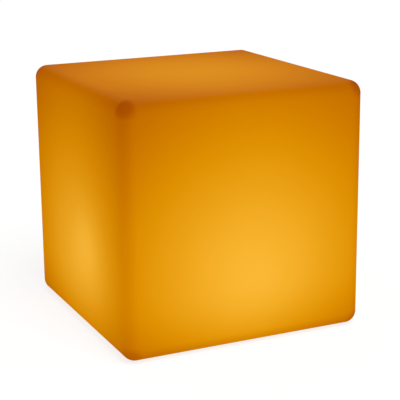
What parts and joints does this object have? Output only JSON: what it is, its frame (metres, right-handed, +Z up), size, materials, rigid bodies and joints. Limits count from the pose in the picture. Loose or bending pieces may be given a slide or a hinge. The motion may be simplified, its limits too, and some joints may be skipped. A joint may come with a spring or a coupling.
{
  "type": "led cube light",
  "caption": "Glowing rounded cube floor light for outdoors, hollow moulded shell with a rechargeable lamp module bolted into its underside.",
  "frame": {"origin": "middle of the base, on the plane that the feet stand on", "axes": "+Z up; -Y is the face that the picture shows largest, -X the one beside it"},
  "size_m": [0.4, 0.4, 0.395],
  "materials": {
    "shell_plastic": "satin rotation-moulded polyethylene, lit from inside in warm amber",
    "base_plastic": "fine-textured white moulded plastic",
    "button_plastic": "satin black",
    "socket_plastic": "black moulded",
    "silicone": "grey silicone",
    "plug_silicone": "black silicone",
    "foot_rubber": "black rubber",
    "stainless_steel": "turned stainless steel",
    "brass": "plain brass",
    "nickel": "nickel plated",
    "circuit_board": "green solder mask",
    "chip_black": "black moulded",
    "board_aluminium": "white-lacquered aluminium",
    "lamp_white": "clear resin on white",
    "frosted_dome": "frosted polycarbonate",
    "clear_plastic": "clear polycarbonate",
    "cell_wrap": "shrink wrap",
    "lead_red": "plain",
    "lead_black": "plain",
    "lead_white": "plain"
  },
  "bodies": {
    "housing": {"cube_shell": "shell_plastic", "base_plate": "base_plastic", "light_tray": "base_plastic", "battery_cradle": "base_plastic", "battery_strap": "base_plastic", "charge_jack": "socket_plastic", "switch_body": "socket_plastic", "board_sockets": "socket_plastic", "led_socket": "socket_plastic", "flange_gasket": "silicone", "button_seal": "silicone", "jack_seal": "silicone", "tray_seal": "silicone", "dome_seal": "silicone", "plug_anchor": "plug_silicone", "rubber_foot_1": "foot_rubber", "rubber_foot_2": "foot_rubber", "rubber_foot_3": "foot_rubber", "rubber_foot_4": "foot_rubber", "flange_screws": "stainless_steel", "board_screws": "stainless_steel", "strap_screws": "stainless_steel", "led_board_screws": "stainless_steel", "dome_screws": "stainless_steel", "screw_inserts": "brass", "charge_jack_pin": "brass", "jack_contacts": "brass", "jack_nut": "nickel", "battery_tabs": "nickel", "control_board": "circuit_board", "protection_board": "circuit_board", "board_chips": "chip_black", "ir_receiver": "chip_black", "led_board": "board_aluminium", "led_chips": "lamp_white", "status_led": "lamp_white", "diffuser_dome": "frosted_dome", "light_pipe": "clear_plastic", "battery_cell_1": "cell_wrap", "battery_cell_2": "cell_wrap", "battery_lead_red": "lead_red", "charge_lead_red": "lead_red", "battery_lead_black": "lead_black", "charge_lead_black": "lead_black", "led_lead": "lead_white"},
    "power_button": {"power_button": "button_plastic", "switch_plunger": "socket_plastic"},
    "jack_plug": {"jack_plug": "plug_silicone"}
  },
  "joints": [
    {"name": "power_button_press", "type": "slide", "parent": "housing", "child": "power_button", "axis": [0, 0, 1], "range_m": [0, 0.0012], "stiffness_N_per_m": 1500},
    {"name": "jack_plug_swing", "type": "hinge", "parent": "housing", "child": "jack_plug", "pos_m": [0.027, -0.02, 0.0117], "axis": [0, -1, 0], "range_deg": [0, 110], "stiffness_Nm_per_rad": 0.002, "springref_deg": -11.46}
  ]
}
